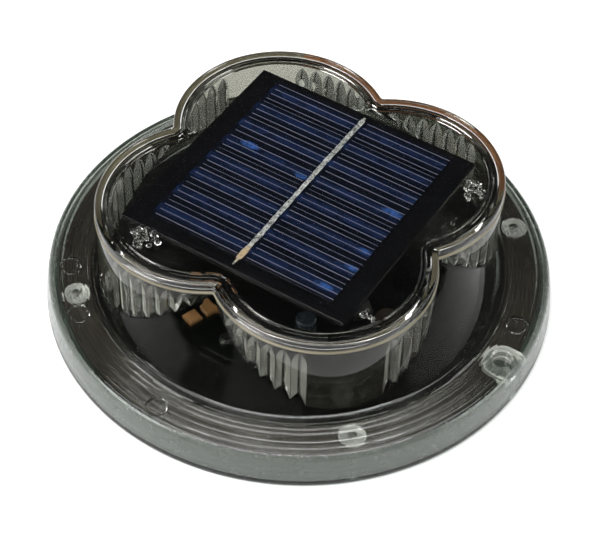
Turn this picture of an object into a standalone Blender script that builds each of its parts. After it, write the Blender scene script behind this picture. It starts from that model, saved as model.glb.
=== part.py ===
"""Floating solar pool light: a clear round hull with a four-lobed dome over a solar panel.

Frame: +Z up, origin at the centre of the flat underside. The lobes lie on +X, +Y, -X and -Y.
Lengths are written in millimetres and scaled to metres when a mesh is made.
"""
import math

import bmesh
import bpy
from mathutils import Matrix, Vector

MM = 0.001
GAP = 0.3                       # clearance between neighbouring pieces
STEPS = 64                      # facets round the hull

# hull
HULL_R = 82.5
HULL_TOP_R = 81.5
HULL_TOP_Z = 12.2
HULL_ROUND = 2.5
LIP_H = 2.7
WALL = 2.2
SKIRT_IN_R = 79.8
FLANGE_UNDER_Z = HULL_TOP_Z - WALL
FLOOR_H = 2.0

# dome
LOBES = 4
LOBE_C = 30.0                   # lobe centre to hull axis
LOBE_R = 35.0                   # outer radius of a lobe
LOBE_IN_R = LOBE_R - WALL
DOME_TOP_Z = 45.0
RIM_Z = 40.2                    # top of the dome wall, under the seal
SHOULDER = [(65.6, HULL_TOP_Z), (62.0, 18.8), (58.0, 26.3), (54.0, 33.2), (49.6, 39.5)]
RING_IN_R = 67.2
RING_OUT_R = 68.6
RING_H = 0.6

# ribs inside the lobe walls
FLUTE_FIRST = 20.5              # degrees from the lobe's middle
FLUTE_PITCH = 8.35
FLUTE_COUNT = 7
FLUTE_DEPTH = 2.0
FLUTE_FLANK = 0.62              # a rib's height halfway up its flank, as a share of its depth
FLUTE_TOP_Z = 37.8

# lid and seal
LID_T = 1.7
LID_ROUND = 1.3
LID_LIP_R = 31.0
LID_LIP_T = 1.2
LID_LIP_H = 1.4
SEAL_H = 0.7
SEAL_OUT_R = LOBE_R + 0.25
SEAL_IN_R = LOBE_IN_R + 0.3

# solar panel, its sides at 45 degrees to X and Y
PANEL_SIDE = 80.8
PANEL_T = 2.0
PANEL_TOP_Z = 42.0
PANEL_AT = (0.05, 1.0)          # the panel is set a little off the hull's axis
CELL_L = 73.0                   # along the ribbon
CELL_W = 66.0
CELL_SHIFT = 1.2                # along the ribbon, from the panel's middle
CELL_T = 0.3
RIBBON_L = 77.0
RIBBON_W = 1.8
RIBBON_T = 0.15
CELL_GAP = 0.2

# hull screws and tether hole
SCREW_R = 73.0
POST_R = 3.9
POST_BASE_Z = 5.6
PILOT_R = 1.5
PILOT_TOP_Z = 10.8
HEAD_R = 2.7
TETHER_R = 75.5
TETHER_ANGLE = -46.0
TETHER_HOLE_R = 3.1
TETHER_TUBE_R = 4.8
TETHER_PAD_R = 6.4
TETHER_PAD_Z = 7.7
TETHER_SLOT_R = 7.0

# deck and base
DECK_Z0 = 7.4
DECK_Z1 = 9.2
DECK_R = 77.8
WIRE_HOLE_R = 3.4
WIRE_HOLE_X = 13.2
UPSTAND_R0 = 77.2
UPSTAND_R1 = 78.5
UPSTAND_Z = DECK_Z0 - GAP
PAD_R = 4.4
PAD_Z = POST_BASE_Z - GAP
COUNTERBORE_R = 3.1
COUNTERBORE_Z = 3.0

# circuit board and what stands on it
BOARD_R = 48.0
BOARD_Z0 = 10.6
BOARD_Z1 = 12.2
BOARD_SCREW_XY = 30.0
ON_BOARD_Z = BOARD_Z1 + GAP
LED_SIDE = 4.6
LED_SPOTS = [(-38.7, -19.2), (-33.0, -16.6), (38.7, 19.2), (33.0, 16.6)]
LED_TURN = 25.0

# battery box, long side on X
BOX_L = 55.0
BOX_W = 27.0
BOX_H = 14.0
BOX_WALL = 1.8
BOX_TOP_Z = ON_BOARD_Z + BOX_H
BATTERY_R = 5.2
BATTERY_L = 43.0
BATTERY_Y = 5.7
BATTERY_Z = ON_BOARD_Z + BOX_WALL + BATTERY_R + GAP
WIRE_NOTCH_Y = 8.0

# push button in the middle of the underside
BUTTON_R = 5.9
BUTTON_FLANGE_R = 7.6
BUTTON_LOW_Z = 0.5
GUIDE_TOP_Z = 5.2
SWITCH_SIDE = 9.0
SWITCH_Z0 = 5.0
SWITCH_Z1 = DECK_Z0 - GAP
PLUNGER_R = 1.6


# ---------------------------------------------------------------- materials

def material(name, colour, roughness, metallic=0.0, transmission=0.0):
    mat = bpy.data.materials.new(name)
    mat.use_nodes = True
    shader = mat.node_tree.nodes["Principled BSDF"]
    shader.inputs["Base Color"].default_value = (*colour, 1.0)
    shader.inputs["Roughness"].default_value = roughness
    shader.inputs["Metallic"].default_value = metallic
    shader.inputs["Transmission Weight"].default_value = transmission
    mat.diffuse_color = (*colour, 1.0)
    return mat


# ---------------------------------------------------------------- mesh helpers

def finish_mesh(name, bm, mat, smooth_angle=35.0):
    """Scales a millimetre bmesh to metres and puts it in the scene."""
    bmesh.ops.scale(bm, vec=(MM, MM, MM), verts=bm.verts)
    bmesh.ops.recalc_face_normals(bm, faces=bm.faces)
    mesh = bpy.data.meshes.new(name)
    bm.to_mesh(mesh)
    bm.free()
    if mat is not None:
        mesh.materials.append(mat)
    mesh.shade_smooth()
    mesh.set_sharp_from_angle(angle=math.radians(smooth_angle))
    obj = bpy.data.objects.new(name, mesh)
    bpy.context.scene.collection.objects.link(obj)
    return obj


def tool(name, bm):
    """A shape that only cuts or joins another one."""
    obj = finish_mesh(name, bm, None)
    obj.hide_render = True
    obj.display_type = "WIRE"
    return obj


def boolean(obj, other, operation):
    mod = obj.modifiers.new(operation.lower() + "_" + other.name, "BOOLEAN")
    mod.operation = operation
    mod.object = other


def add_loft(bm, rings, closed=False):
    """Skins rings of equal point count. Open lofts are capped at both ends."""
    rows = [[bm.verts.new(p) for p in ring] for ring in rings]
    pairs = list(zip(rows, rows[1:]))
    if closed:
        pairs.append((rows[-1], rows[0]))
    count = len(rows[0])
    for low, high in pairs:
        for i in range(count):
            j = (i + 1) % count
            bm.faces.new((low[i], low[j], high[j], high[i]))
    if not closed:
        bm.faces.new(rows[0])
        bm.faces.new(rows[-1])


def circle(radius, z, steps, x=0.0, y=0.0):
    points = []
    for i in range(steps):
        angle = 2 * math.pi * i / steps
        points.append((x + radius * math.cos(angle), y + radius * math.sin(angle), z))
    return points


def add_turned(bm, profile, steps, x=0.0, y=0.0):
    """A solid turned about a vertical axis: profile is (radius, z) from bottom to top."""
    add_loft(bm, [circle(r, z, steps, x, y) for r, z in profile])


def add_turned_ring(bm, profile, steps, x=0.0, y=0.0):
    """A ring: its closed (radius, z) section turned about a vertical axis."""
    add_loft(bm, [circle(r, z, steps, x, y) for r, z in profile], closed=True)


def add_box(bm, size, centre, turn=0.0):
    """A box of (x, y, z) size, turned about Z by an angle in degrees."""
    place = Matrix.Translation(centre) @ Matrix.Rotation(math.radians(turn), 4, "Z")
    bmesh.ops.create_cube(bm, size=1.0, matrix=place @ Matrix.Diagonal((*size, 1.0)))


def box_between(z0, z1, side_x, side_y, x=0.0, y=0.0, turn=0.0):
    bm = bmesh.new()
    add_box(bm, (side_x, side_y, z1 - z0), (x, y, (z0 + z1) / 2), turn)
    return bm


def polar(radius, degrees):
    angle = math.radians(degrees)
    return radius * math.cos(angle), radius * math.sin(angle)


def lobe_notch_angle(radius):
    """The angle, about a lobe's own centre, at which it meets the next lobe."""
    half = LOBE_C * math.sin(math.pi / LOBES)
    reach = LOBE_C * math.cos(math.pi / LOBES) + math.sqrt(radius ** 2 - half ** 2)
    x, y = polar(reach, 180 / LOBES)
    return math.degrees(math.atan2(y, x - LOBE_C))


def clover(radius, z, steps=18):
    """The four-lobed outline as arcs of equal step."""
    limit = lobe_notch_angle(radius)
    angles = [-limit + 2 * limit * i / steps for i in range(steps)]
    return clover_from([(a, radius) for a in angles], z)


def clover_from(arc, z):
    """Repeats one lobe's (angle, radius) points round the axis."""
    points = []
    for k in range(LOBES):
        turn = 2 * math.pi * k / LOBES
        for degrees, radius in arc:
            x, y = polar(radius, degrees)
            x += LOBE_C
            points.append((x * math.cos(turn) - y * math.sin(turn),
                           x * math.sin(turn) + y * math.cos(turn), z))
    return points


def flute_arc(depth):
    """One lobe's inner outline, with ribs of the given depth beside a plain middle."""
    limit = lobe_notch_angle(LOBE_IN_R)
    last = FLUTE_FIRST + FLUTE_COUNT * FLUTE_PITCH
    side = [(last, LOBE_IN_R)]
    for i in range(FLUTE_COUNT):
        crest = last - (i + 0.5) * FLUTE_PITCH
        side.append((crest + FLUTE_PITCH / 4, LOBE_IN_R - depth * FLUTE_FLANK))
        side.append((crest, LOBE_IN_R - depth))
        side.append((crest - FLUTE_PITCH / 4, LOBE_IN_R - depth * FLUTE_FLANK))
        side.append((crest - FLUTE_PITCH / 2, LOBE_IN_R))
    middle = [(FLUTE_FIRST * t, LOBE_IN_R) for t in (-0.6, -0.2, 0.2, 0.6)]
    left = [(-a, r) for a, r in side]
    right = [(a, r) for a, r in reversed(side)]
    return [(-limit, LOBE_IN_R)] + left + middle + right


# ---------------------------------------------------------------- clear shells

def rounded_corner(radius, z, size, steps=3):
    """(radius, z) points of a quarter round that ends on a flat top."""
    points = []
    for i in range(steps + 1):
        angle = math.pi / 2 * i / steps
        points.append((radius - size + size * math.cos(angle), z - size + size * math.sin(angle)))
    return points


def offset_inward(profile, thickness):
    """Moves a falling (radius, z) profile towards the inside of the shell."""
    moved = []
    for i, (r, z) in enumerate(profile):
        before = profile[max(i - 1, 0)]
        after = profile[min(i + 1, len(profile) - 1)]
        dr, dz = after[0] - before[0], after[1] - before[1]
        length = math.hypot(dr, dz)
        moved.append((r - thickness * dz / length, z + thickness * dr / length))
    return moved


def hull_outside():
    profile = [(HULL_R - 0.1, LIP_H + GAP)]
    profile += rounded_corner(HULL_TOP_R, HULL_TOP_Z, HULL_ROUND)
    profile += [(RING_OUT_R + 0.3, HULL_TOP_Z), (RING_OUT_R, HULL_TOP_Z + RING_H)]
    profile += [(RING_IN_R, HULL_TOP_Z + RING_H), (RING_IN_R - 0.3, HULL_TOP_Z)]
    profile += SHOULDER
    bm = bmesh.new()
    add_turned(bm, profile, STEPS)
    return bm


def hull_inside():
    inner = offset_inward(SHOULDER, WALL)
    profile = [(SKIRT_IN_R, 0.0), (SKIRT_IN_R, FLANGE_UNDER_Z - 0.8)]
    profile += [(SKIRT_IN_R - 0.8, FLANGE_UNDER_Z), (inner[0][0] + 1.2, FLANGE_UNDER_Z)]
    profile += inner[1:]
    profile += [(inner[-1][0] - 0.6, DOME_TOP_Z)]
    bm = bmesh.new()
    add_turned(bm, profile, STEPS)
    return bm


def tether_outline(radius, z0, z1, reach):
    """A D-shaped block: round on its inner side and straight out to the given reach."""
    turn = math.radians(TETHER_ANGLE)
    arc = [polar(radius, 90 + 180 * i / 12) for i in range(13)]
    flat = [(TETHER_R + x, y) for x, y in arc] + [(reach, -radius), (reach, radius)]
    rings = []
    for z in (z0, z1):
        rings.append([(x * math.cos(turn) - y * math.sin(turn),
                       x * math.sin(turn) + y * math.cos(turn), z) for x, y in flat])
    bm = bmesh.new()
    add_loft(bm, rings)
    return bm


def screw_spots():
    return [polar(SCREW_R, 360 * k / LOBES) for k in range(LOBES)]


def top_shell(mat):
    shell = finish_mesh("top_shell", hull_outside(), mat)

    bm = bmesh.new()
    add_loft(bm, [clover(LOBE_R, FLANGE_UNDER_Z + 0.7), clover(LOBE_R, RIM_Z)])
    boolean(shell, tool("lobe_blocks", bm), "UNION")
    boolean(shell, tool("hull_cavity", hull_inside()), "DIFFERENCE")

    bm = bmesh.new()
    fluted, plain = flute_arc(FLUTE_DEPTH), flute_arc(0.0)
    add_loft(bm, [clover_from(fluted, FLANGE_UNDER_Z - 2), clover_from(fluted, FLUTE_TOP_Z),
                  clover_from(plain, FLUTE_TOP_Z + 1), clover_from(plain, DOME_TOP_Z)])
    boolean(shell, tool("lobe_cavity", bm), "DIFFERENCE")

    bm = bmesh.new()
    for x, y in screw_spots():
        add_turned(bm, [(POST_R, POST_BASE_Z), (POST_R, FLANGE_UNDER_Z + 1)], 20, x, y)
    x, y = polar(TETHER_R, TETHER_ANGLE)
    add_turned(bm, [(TETHER_TUBE_R, FLOOR_H + GAP), (TETHER_TUBE_R, FLANGE_UNDER_Z + 1)], 24, x, y)
    boolean(shell, tool("posts", bm), "UNION")
    boolean(shell, tool("tether_pad", tether_outline(TETHER_PAD_R, TETHER_PAD_Z, FLANGE_UNDER_Z + 1,
                                                     SKIRT_IN_R + 0.8)), "UNION")

    bm = bmesh.new()
    for x, y in screw_spots():
        add_turned(bm, [(PILOT_R, 0.0), (PILOT_R, PILOT_TOP_Z)], 12, x, y)
    x, y = polar(TETHER_R, TETHER_ANGLE)
    add_turned(bm, [(TETHER_HOLE_R, 0.0), (TETHER_HOLE_R, HULL_TOP_Z + 1)], 20, x, y)
    boolean(shell, tool("post_holes", bm), "DIFFERENCE")


def dome_lid(mat):
    low = RIM_Z + 2 * GAP + SEAL_H
    under = DOME_TOP_Z - LID_T
    edge = rounded_corner(LOBE_R, DOME_TOP_Z, LID_ROUND)
    rings = [clover(LID_LIP_R - LID_LIP_T, under), clover(LID_LIP_R - LID_LIP_T, under - LID_LIP_H)]
    rings += [clover(LID_LIP_R, under - LID_LIP_H), clover(LID_LIP_R, under)]
    rings += [clover(LOBE_IN_R, under), clover(LOBE_IN_R, low), clover(LOBE_R, low)]
    rings += [clover(r, z) for r, z in edge]
    bm = bmesh.new()
    add_loft(bm, rings)
    finish_mesh("dome_lid", bm, mat)


def lid_seal(mat):
    z0 = RIM_Z + GAP
    z1 = z0 + SEAL_H
    bm = bmesh.new()
    add_loft(bm, [clover(SEAL_IN_R, z0), clover(SEAL_OUT_R, z0),
                  clover(SEAL_OUT_R, z1), clover(SEAL_IN_R, z1)], closed=True)
    finish_mesh("lid_seal", bm, mat)


def bottom_shell(mat):
    profile = [(HULL_R - 0.6, 0.0), (HULL_R, 0.6), (HULL_R, LIP_H), (UPSTAND_R1, LIP_H)]
    profile += [(UPSTAND_R1, UPSTAND_Z), (UPSTAND_R0, UPSTAND_Z), (UPSTAND_R0, FLOOR_H)]
    bm = bmesh.new()
    add_turned(bm, profile, STEPS)
    shell = finish_mesh("bottom_shell", bm, mat)

    bm = bmesh.new()
    for x, y in screw_spots():
        add_turned(bm, [(PAD_R, FLOOR_H - 1), (PAD_R, PAD_Z)], 20, x, y)
    boolean(shell, tool("screw_pads", bm), "UNION")

    bm = bmesh.new()
    for x, y in screw_spots():
        add_turned(bm, [(COUNTERBORE_R, -1.0), (COUNTERBORE_R, COUNTERBORE_Z),
                        (PILOT_R, COUNTERBORE_Z), (PILOT_R, PAD_Z + 1)], 16, x, y)
    x, y = polar(TETHER_R, TETHER_ANGLE)
    clear = TETHER_TUBE_R + GAP
    add_turned(bm, [(TETHER_HOLE_R, -1.0), (TETHER_HOLE_R, FLOOR_H), (clear, FLOOR_H),
                    (clear, UPSTAND_Z + 1)], 24, x, y)
    add_turned(bm, [(BUTTON_R + GAP, -1.0), (BUTTON_R + GAP, FLOOR_H + 1)], 32)
    boolean(shell, tool("base_holes", bm), "DIFFERENCE")


def hull_seal(mat):
    r0, r1 = UPSTAND_R1 + GAP, SKIRT_IN_R - GAP
    z0, z1 = LIP_H + 2 * GAP, LIP_H + 2.1
    bm = bmesh.new()
    add_turned_ring(bm, [(r0, z0), (r1, z0), (r1, z1), (r0, z1)], STEPS)
    ring = finish_mesh("hull_seal", bm, mat)

    bm = bmesh.new()
    x, y = polar(TETHER_R, TETHER_ANGLE)
    add_turned(bm, [(TETHER_TUBE_R + GAP, 0.0), (TETHER_TUBE_R + GAP, HULL_TOP_Z)], 24, x, y)
    boolean(ring, tool("seal_relief", bm), "DIFFERENCE")


def shell_screws(mat):
    for i, (x, y) in enumerate(screw_spots()):
        bm = bmesh.new()
        add_turned(bm, [(HEAD_R - 0.4, 0.5), (HEAD_R, 0.9), (HEAD_R, 2.7), (1.2, 2.7),
                        (1.2, 9.6), (0.5, 10.4)], 16, x, y)
        finish_mesh(f"shell_screw_{i + 1}", bm, mat)


# ---------------------------------------------------------------- solar panel

def solar_panel(board_mat, cell_mat, ribbon_mat):
    board_z0 = PANEL_TOP_Z - PANEL_T
    finish_mesh("solar_panel_board",
                box_between(board_z0, PANEL_TOP_Z, PANEL_SIDE, PANEL_SIDE, *PANEL_AT, 45), board_mat)
    cell_z0 = PANEL_TOP_Z + CELL_GAP
    cell_x, cell_y = (c + CELL_SHIFT * math.sqrt(0.5) for c in PANEL_AT)
    finish_mesh("solar_cell",
                box_between(cell_z0, cell_z0 + CELL_T, CELL_L, CELL_W, cell_x, cell_y, 45), cell_mat)
    busbar_ribbon(cell_z0 + CELL_T + CELL_GAP, ribbon_mat)


def busbar_ribbon(z0, mat):
    """A thin strip along the +X+Y diagonal with slightly wavy edges."""
    cuts = 24
    place = Matrix.Translation((*PANEL_AT, 0.0)) @ Matrix.Rotation(math.radians(45), 4, "Z")
    rings = []
    for i in range(cuts + 1):
        along = RIBBON_L * (i / cuts - 0.5)
        half = RIBBON_W / 2 + 0.15 * math.sin(2.3 * i)
        rings.append([place @ Vector(p) for p in (
            (along, -half, z0), (along, half, z0),
            (along, half, z0 + RIBBON_T), (along, -half, z0 + RIBBON_T))])
    bm = bmesh.new()
    add_loft(bm, rings)
    finish_mesh("busbar_ribbon", bm, mat)


def glue_bead(name, x, y, turn, length, width, mat):
    """A flattened drop of glue under the lid, at the panel's edge."""
    height = 2.0
    z = DOME_TOP_Z - LID_T - GAP - height / 2
    place = Matrix.Translation((x, y, z)) @ Matrix.Rotation(math.radians(turn), 4, "Z")
    bm = bmesh.new()
    bmesh.ops.create_uvsphere(bm, u_segments=12, v_segments=6, radius=0.5,
                              matrix=place @ Matrix.Diagonal((length, width, height, 1.0)))
    finish_mesh(name, bm, mat, 80)


# ---------------------------------------------------------------- deck and electronics

def board_screw_spots():
    return [(sx * BOARD_SCREW_XY, sy * BOARD_SCREW_XY) for sx in (1, -1) for sy in (1, -1)]


def deck_plate(mat):
    bm = bmesh.new()
    add_turned(bm, [(DECK_R, DECK_Z0), (DECK_R, DECK_Z1)], STEPS)
    deck = finish_mesh("deck_plate", bm, mat)

    bm = bmesh.new()
    for x, y in board_screw_spots():
        add_turned(bm, [(3.0, DECK_Z1 - 1), (3.0, BOARD_Z0 - GAP)], 16, x, y)
    boolean(deck, tool("standoffs", bm), "UNION")

    bm = bmesh.new()
    for x, y in screw_spots():
        add_turned(bm, [(POST_R + 0.4, DECK_Z0 - 1), (POST_R + 0.4, DECK_Z1 + 1)], 20, x, y)
    for x, y in board_screw_spots():
        add_turned(bm, [(1.1, DECK_Z0 + 0.7), (1.1, BOARD_Z0 + 1)], 12, x, y)
    add_turned(bm, [(WIRE_HOLE_R, DECK_Z0 - 1), (WIRE_HOLE_R, DECK_Z1 + 1)], 20, WIRE_HOLE_X, 0.0)
    boolean(deck, tool("deck_holes", bm), "DIFFERENCE")
    boolean(deck, tool("tether_slot", tether_outline(TETHER_SLOT_R, DECK_Z0 - 1, DECK_Z1 + 1,
                                                     HULL_R)), "DIFFERENCE")


def circuit_board(mat):
    bm = bmesh.new()
    add_turned(bm, [(BOARD_R, BOARD_Z0), (BOARD_R, BOARD_Z1)], 48)
    board = finish_mesh("circuit_board", bm, mat)
    bm = bmesh.new()
    for x, y in board_screw_spots():
        add_turned(bm, [(1.4, BOARD_Z0 - 1), (1.4, BOARD_Z1 + 1)], 12, x, y)
    boolean(board, tool("board_holes", bm), "DIFFERENCE")


def board_screws(mat):
    for i, (x, y) in enumerate(board_screw_spots()):
        bm = bmesh.new()
        add_turned(bm, [(0.8, DECK_Z0 + 1.2), (0.8, ON_BOARD_Z), (2.4, ON_BOARD_Z),
                        (2.4, ON_BOARD_Z + 0.8), (1.4, ON_BOARD_Z + 1.5)], 12, x, y)
        finish_mesh(f"board_screw_{i + 1}", bm, mat)


def leds(mat):
    for i, (x, y) in enumerate(LED_SPOTS):
        half = LED_SIDE / 2
        place = Matrix.Translation((x, y, 0)) @ Matrix.Rotation(math.radians(LED_TURN), 4, "Z")
        rings = []
        for scale, dz in ((1.0, 0.0), (1.0, 1.0), (0.8, 1.4)):
            h = half * scale
            rings.append([place @ Vector((px, py, ON_BOARD_Z + dz))
                          for px, py in ((-h, -h), (h, -h), (h, h), (-h, h))])
        bm = bmesh.new()
        add_loft(bm, rings)
        finish_mesh(f"led_{i + 1}", bm, mat)


def board_parts(chip_mat, coil_mat, can_mat):
    finish_mesh("charge_chip",
                box_between(ON_BOARD_Z, ON_BOARD_Z + 1.5, 6.0, 5.0, 14.0, -27.0), chip_mat)
    bm = bmesh.new()
    add_turned(bm, [(4.0, ON_BOARD_Z), (4.0, ON_BOARD_Z + 1), (3.0, ON_BOARD_Z + 1.4),
                    (3.0, ON_BOARD_Z + 3.6), (4.0, ON_BOARD_Z + 4), (4.0, ON_BOARD_Z + 5)],
               20, 20.0, -36.0)
    finish_mesh("inductor", bm, coil_mat)
    bm = bmesh.new()
    add_turned(bm, [(3.2, ON_BOARD_Z), (3.2, ON_BOARD_Z + 9.5), (2.8, ON_BOARD_Z + 10)],
               20, -6.0, -35.0)
    finish_mesh("capacitor", bm, can_mat)


def battery_box(mat):
    box = finish_mesh("battery_box", box_between(ON_BOARD_Z, BOX_TOP_Z, BOX_L, BOX_W), mat)
    inner_x, inner_y = BOX_L - 2 * BOX_WALL, BOX_W - 2 * BOX_WALL
    boolean(box, tool("box_space", box_between(ON_BOARD_Z + BOX_WALL, BOX_TOP_Z + 1,
                                               inner_x, inner_y)), "DIFFERENCE")
    bm = bmesh.new()
    for side in (1, -1):
        add_box(bm, (6.0, 2.4, 2.8), (BOX_L / 2 - 1, side * WIRE_NOTCH_Y, BOX_TOP_Z))
    boolean(box, tool("wire_notches", bm), "DIFFERENCE")
    finish_mesh("battery_box_cover",
                box_between(BOX_TOP_Z + GAP, BOX_TOP_Z + GAP + 1.6, BOX_L, BOX_W), mat)


def batteries(mat):
    """Two cells side by side, facing opposite ways."""
    for i, (y, way) in enumerate(((BATTERY_Y, 1), (-BATTERY_Y, -1))):
        half = BATTERY_L / 2
        profile = [(BATTERY_R - 0.6, -half), (BATTERY_R, -half + 0.6), (BATTERY_R, half - 0.6),
                   (BATTERY_R - 0.6, half), (1.9, half), (1.9, half + 0.9)]
        bm = bmesh.new()
        add_turned(bm, profile, 24)
        turn = Matrix.Rotation(math.radians(90 * way), 4, "Y")
        bmesh.ops.transform(bm, matrix=Matrix.Translation((0, y, BATTERY_Z)) @ turn, verts=bm.verts)
        finish_mesh(f"battery_{i + 1}", bm, mat)


def battery_contacts(mat):
    """A coil at the flat end of each cell and a flat tab at the other."""
    wall = BOX_L / 2 - BOX_WALL - GAP
    for i, (y, way) in enumerate(((BATTERY_Y, 1), (-BATTERY_Y, -1))):
        x = way * (wall - 0.4)
        bm = bmesh.new()
        add_box(bm, (0.8, 8.0, 8.0), (x, y, BATTERY_Z))
        finish_mesh(f"battery_tab_{i + 1}", bm, mat)
        contact_coil(f"battery_spring_{i + 1}", -way, wall, y, mat)


def contact_coil(name, way, wall, y, mat):
    """A conical wire coil standing on the box's end wall."""
    turns, steps, wire = 2.5, 10, 0.35
    start = wall - wire - 0.1
    end = BATTERY_L / 2 + wire + GAP
    points = []
    count = int(turns * steps)
    for k in range(count + 1):
        t = k / count
        angle = 2 * math.pi * turns * t
        radius = 3.4 - 1.6 * t
        points.append((way * (start + (end - start) * t), y + radius * math.cos(angle),
                       BATTERY_Z + radius * math.sin(angle)))
    tube(name, points, wire, mat)


# ---------------------------------------------------------------- switch

def power_switch(rubber_mat, guide_mat, body_mat, plunger_mat):
    flange_z = FLOOR_H + GAP
    bm = bmesh.new()
    add_turned(bm, [(BUTTON_R - 0.5, BUTTON_LOW_Z), (BUTTON_R, BUTTON_LOW_Z + 0.5),
                    (BUTTON_R, flange_z), (BUTTON_FLANGE_R, flange_z),
                    (BUTTON_FLANGE_R, flange_z + 0.7)], 32)
    finish_mesh("power_button", bm, rubber_mat)

    bm = bmesh.new()
    r0, r1 = BUTTON_FLANGE_R + GAP, BUTTON_FLANGE_R + 1.8
    add_turned_ring(bm, [(r0, flange_z), (r1, flange_z), (r1, GUIDE_TOP_Z), (r0, GUIDE_TOP_Z)], 32)
    finish_mesh("button_guide", bm, guide_mat)

    body = finish_mesh("switch_body",
                       box_between(SWITCH_Z0, SWITCH_Z1, SWITCH_SIDE, SWITCH_SIDE), body_mat)
    bm = bmesh.new()
    add_turned(bm, [(PLUNGER_R + GAP, SWITCH_Z0 - 1), (PLUNGER_R + GAP, SWITCH_Z1 + 1)], 16)
    boolean(body, tool("plunger_bore", bm), "DIFFERENCE")

    bm = bmesh.new()
    add_turned(bm, [(PLUNGER_R, flange_z + 0.7 + GAP), (PLUNGER_R, SWITCH_Z0 + 0.4)], 16)
    finish_mesh("switch_plunger", bm, plunger_mat)


# ---------------------------------------------------------------- wires

def smooth_path(points, per_span=4):
    """A smooth curve through the given points."""
    ends = [points[0]] + list(points) + [points[-1]]
    knots = [Vector(p) for p in ends]
    path = []
    for i in range(1, len(knots) - 2):
        p0, p1, p2, p3 = knots[i - 1:i + 3]
        for k in range(per_span):
            t = k / per_span
            path.append(0.5 * (2 * p1 + (p2 - p0) * t + (2 * p0 - 5 * p1 + 4 * p2 - p3) * t ** 2
                               + (3 * p1 - p0 - 3 * p2 + p3) * t ** 3))
    path.append(knots[-2])
    return path


def tube(name, points, radius, mat):
    curve = bpy.data.curves.new(name, "CURVE")
    curve.dimensions = "3D"
    curve.bevel_depth = radius * MM
    curve.bevel_resolution = 1
    curve.use_fill_caps = True
    spline = curve.splines.new("POLY")
    spline.points.add(len(points) - 1)
    for slot, p in zip(spline.points, points):
        slot.co = (p[0] * MM, p[1] * MM, p[2] * MM, 1.0)
    curve.materials.append(mat)
    obj = bpy.data.objects.new(name, curve)
    bpy.context.scene.collection.objects.link(obj)


def wires(red_mat, black_mat):
    board = ON_BOARD_Z + 0.5
    panel = PANEL_TOP_Z - PANEL_T - 0.9
    tube("panel_wire_red", smooth_path([(6, 10, panel), (6, 18, 37), (8, 24, 30), (8, 24, 20),
                                        (8, 28, board)]), 0.5, red_mat)
    tube("panel_wire_black", smooth_path([(-6, 10, panel), (-6, 18, 37), (-8, 24, 30), (-8, 24, 20),
                                          (-8, 28, board)]), 0.5, black_mat)
    x = BOX_L / 2
    top = BOX_TOP_Z - 0.1
    for name, side, mat in (("battery_wire_red", 1, red_mat), ("battery_wire_black", -1, black_mat)):
        y = side * WIRE_NOTCH_Y
        tube(name, smooth_path([(x - 1.0, y, top - 0.3), (x + 1.5, y, top - 0.6), (x + 3, y, top - 5),
                                (x + 3, y, board + 4), (x + 5, side * 6.0, board)]), 0.4, mat)
    low = (SWITCH_Z0 + SWITCH_Z1) / 2
    for name, y, mat in (("switch_wire_1", 1.1, red_mat), ("switch_wire_2", -1.1, black_mat)):
        tube(name, smooth_path([(SWITCH_SIDE / 2 + GAP + 0.4, y, low + 0.6), (11.0, y, low + 0.6),
                                (14.0, y, DECK_Z1), (14.0, y, BOARD_Z0 - GAP)]), 0.4, mat)


# ---------------------------------------------------------------- the whole light

def clear_scene():
    for obj in list(bpy.data.objects):
        bpy.data.objects.remove(obj, do_unlink=True)


def main():
    clear_scene()
    clear = material("clear_plastic", (0.86, 0.9, 0.88), 0.05, transmission=1.0)
    clear_base = material("clear_base_plastic", (0.74, 0.79, 0.76), 0.12, transmission=1.0)
    olive = material("olive_seal", (0.36, 0.33, 0.2), 0.4)
    rubber = material("black_rubber", (0.02, 0.02, 0.02), 0.7)
    black = material("black_plastic", (0.012, 0.012, 0.013), 0.4)
    board = material("panel_black", (0.006, 0.006, 0.008), 0.2)
    cell = material("cell_blue", (0.01, 0.018, 0.06), 0.25)
    ribbon = material("tinned_ribbon", (0.62, 0.61, 0.58), 0.35, metallic=1.0)
    glue = material("clear_glue", (0.85, 0.85, 0.82), 0.2, transmission=0.8)
    steel = material("steel", (0.6, 0.6, 0.6), 0.3, metallic=1.0)
    mask = material("board_black", (0.01, 0.012, 0.011), 0.35)
    amber = material("led_amber", (0.75, 0.36, 0.12), 0.45)
    chip = material("chip_black", (0.03, 0.03, 0.03), 0.5)
    copper = material("copper", (0.55, 0.25, 0.12), 0.35, metallic=1.0)
    can = material("capacitor_can", (0.35, 0.38, 0.42), 0.35, metallic=0.8)
    sleeve = material("battery_sleeve", (0.05, 0.22, 0.1), 0.4)
    nickel = material("nickel", (0.6, 0.58, 0.54), 0.3, metallic=1.0)
    red = material("wire_red", (0.45, 0.02, 0.02), 0.5)
    dark = material("wire_black", (0.02, 0.02, 0.02), 0.5)

    top_shell(clear)
    dome_lid(clear)
    lid_seal(olive)
    bottom_shell(clear_base)
    hull_seal(rubber)
    shell_screws(steel)

    solar_panel(board, cell, ribbon)
    glue_bead("glue_bead_left", -51.2, -9.6, -52, 12.0, 4.6, glue)
    glue_bead("glue_bead_right", 52.6, -9.8, 55, 11.0, 4.6, glue)
    glue_bead("glue_bead_front", 7.8, -54.2, 62, 7.0, 3.0, glue)

    deck_plate(black)
    circuit_board(mask)
    board_screws(steel)
    leds(amber)
    board_parts(chip, copper, can)
    battery_box(black)
    batteries(sleeve)
    battery_contacts(nickel)
    power_switch(rubber, black, black, can)
    wires(red, dark)


main()
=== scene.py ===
import math
import random

import bmesh
import bpy
import numpy as np
from mathutils import Matrix, Vector


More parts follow.
